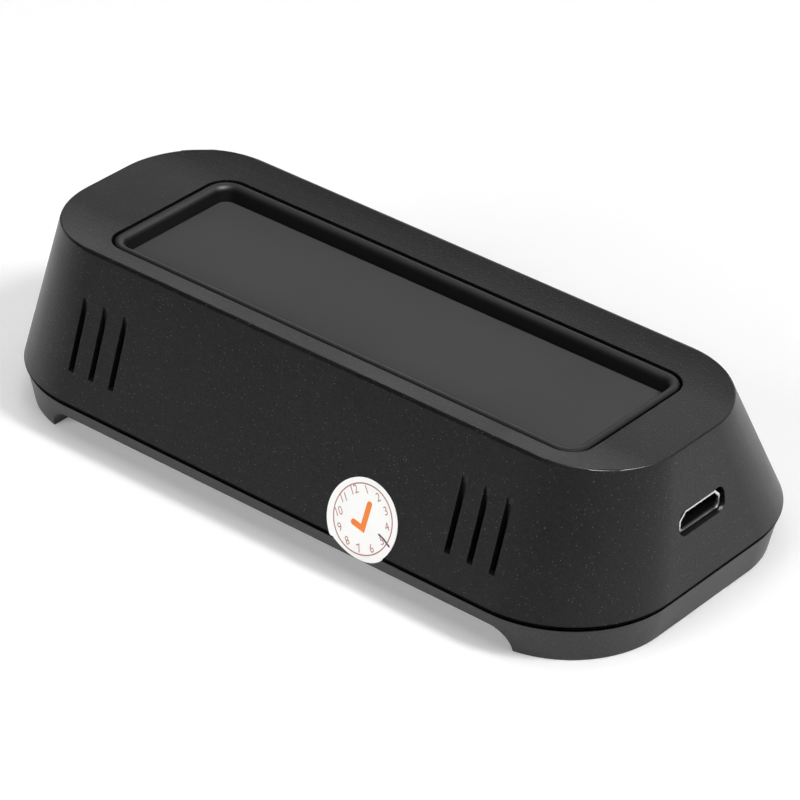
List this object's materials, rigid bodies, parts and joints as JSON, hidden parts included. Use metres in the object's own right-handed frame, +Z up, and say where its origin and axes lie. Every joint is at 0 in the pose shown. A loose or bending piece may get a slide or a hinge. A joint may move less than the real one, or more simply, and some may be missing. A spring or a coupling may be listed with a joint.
{
  "type": "tire pressure monitor",
  "caption": "Low black tire pressure monitor for a dashboard: solar panel on top, sloped display front, vented back, charging port at one end, set button at the other, full-width feet.",
  "frame": {"origin": "on the resting surface, under the middle of the case", "axes": "+X towards the charging port, +Y towards the sloped display front (-Y is the vented back), +Z up"},
  "size_m": [0.092, 0.0459, 0.0228],
  "materials": {
    "case_plastic": "black, fine spark grain",
    "base_plastic": "black, fine spark grain",
    "bezel_plastic": "black, smooth satin",
    "solar_panel": "dark grey, matte",
    "foam_tape": "white foam",
    "wire": "red insulation",
    "smoked_lens": "smoked, polished",
    "gasket": "black foam",
    "lcd_glass": "display glass",
    "light_guide": "white",
    "flex": "amber film",
    "connector": "ivory",
    "board": "green solder mask",
    "port_steel": "plated",
    "port_plastic": "black",
    "contact_gold": "plated",
    "chip": "black moulding",
    "can_metal": "plain",
    "copper": "bare copper",
    "key_plastic": "black satin",
    "battery_foil": "laminated foil",
    "screw": "dark zinc",
    "sticker": "coated paper"
  },
  "bodies": {
    "case": {"top_cover": "case_plastic", "base_cover": "base_plastic", "solar_bezel": "bezel_plastic", "solar_panel": "solar_panel", "solar_tape": "foam_tape", "solar_leads": "wire", "display_lens": "smoked_lens", "lens_gasket": "gasket", "lcd_gasket": "gasket", "lcd_glass": "lcd_glass", "lcd_backlight": "light_guide", "lcd_flex": "flex", "flex_connector": "connector", "main_board": "board", "usb_shell": "port_steel", "usb_tongue": "port_plastic", "usb_contacts": "contact_gold", "controller_chip": "chip", "receiver_chip": "chip", "crystal": "can_metal", "charger_chip": "chip", "inductor": "chip", "buzzer": "chip", "antenna_coil": "copper", "vibration_switch": "can_metal", "switch_body": "port_plastic", "battery": "battery_foil", "battery_pad": "foam_tape", "battery_leads": "wire", "board_screws": "screw", "case_screws": "screw", "date_sticker": "sticker"},
    "button": {"set_button": "key_plastic", "switch_plunger": "connector"}
  },
  "joints": [
    {"name": "set_button_press", "type": "slide", "parent": "case", "child": "button", "axis": [1, 0, 0], "range_m": [0, 0.0004], "stiffness_N_per_m": 2000}
  ]
}
